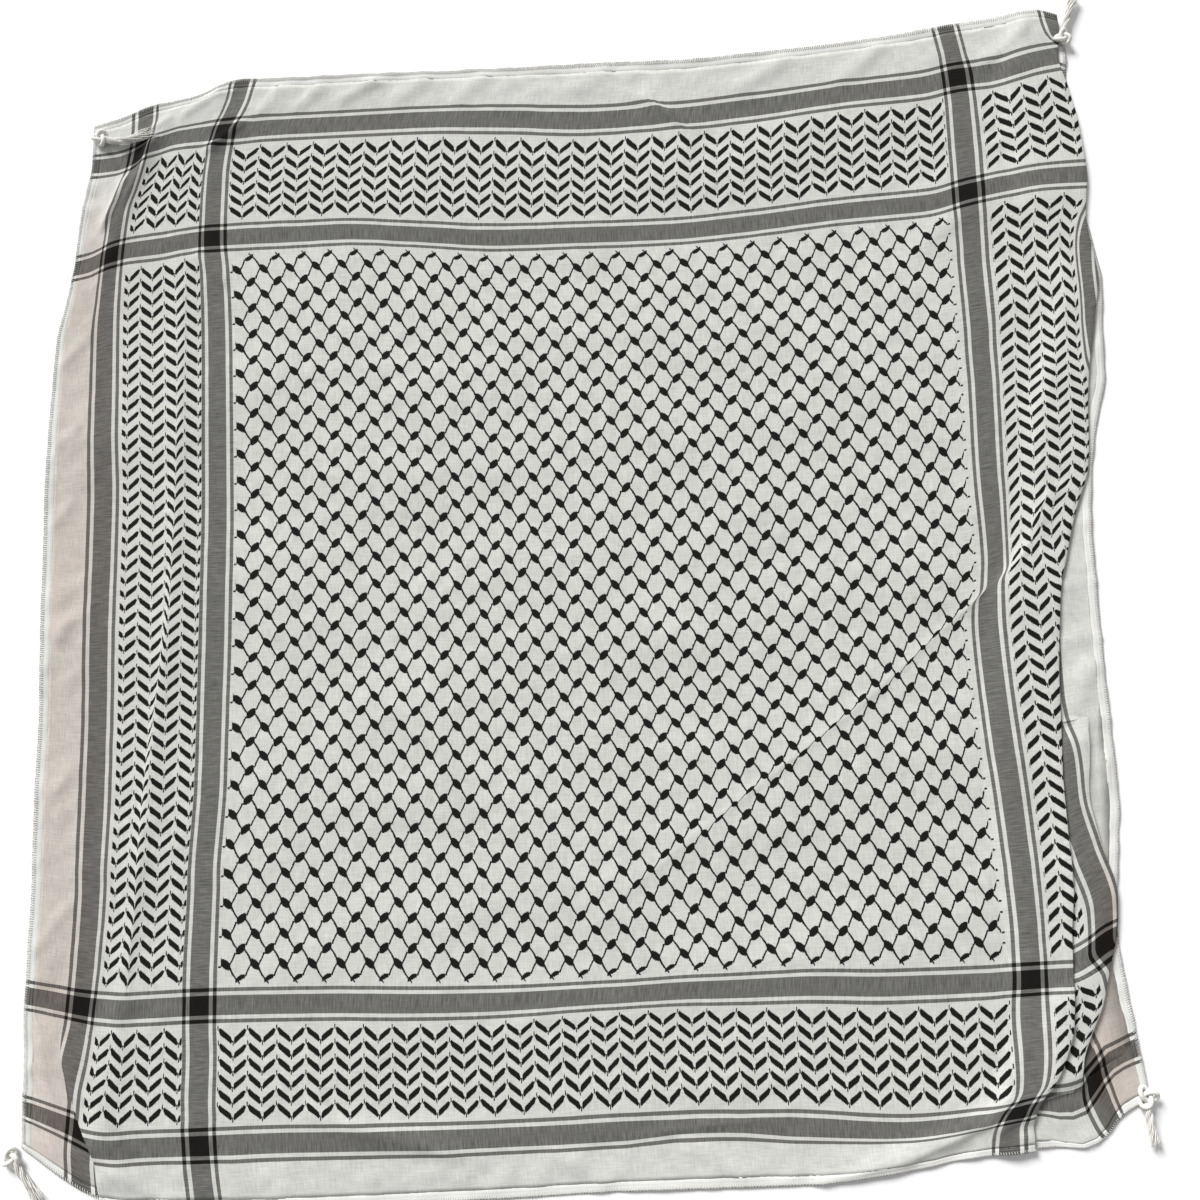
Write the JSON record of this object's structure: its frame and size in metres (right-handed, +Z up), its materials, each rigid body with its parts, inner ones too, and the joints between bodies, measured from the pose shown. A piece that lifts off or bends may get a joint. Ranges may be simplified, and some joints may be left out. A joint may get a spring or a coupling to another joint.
{
  "type": "keffiyeh headscarf",
  "caption": "Square cotton headscarf laid flat, with woven net and leaf patterns between dark bands, narrow hems and knotted corner tassels.",
  "frame": {"origin": "on the surface that the scarf lies on, under the middle of its bounding box, tassels included", "axes": "+Z up from the surface; +X to the scarf's right side, the one with the long pleat; +Y away from the near hem, towards the far hem"},
  "size_m": [1.2629, 1.3559, 0.0116],
  "materials": {
    "woven_cotton": "matt plain-weave cotton, off-white, with black and grey woven bands and floats",
    "hem_cotton": "matt double cotton hem, overlocked along its edge",
    "tassel_cotton": "matt twisted off-white cotton yarn"
  },
  "bodies": {
    "root": {"woven_square": "woven_cotton", "hem_top": "hem_cotton", "hem_bottom": "hem_cotton", "hem_left": "hem_cotton", "hem_right": "hem_cotton", "knot_top_left": "tassel_cotton", "knot_top_right": "tassel_cotton", "knot_bottom_right": "tassel_cotton", "knot_bottom_left": "tassel_cotton", "tassel_top_left": "tassel_cotton", "tassel_top_right": "tassel_cotton", "tassel_bottom_right": "tassel_cotton", "tassel_bottom_left": "tassel_cotton"}
  },
  "joints": []
}
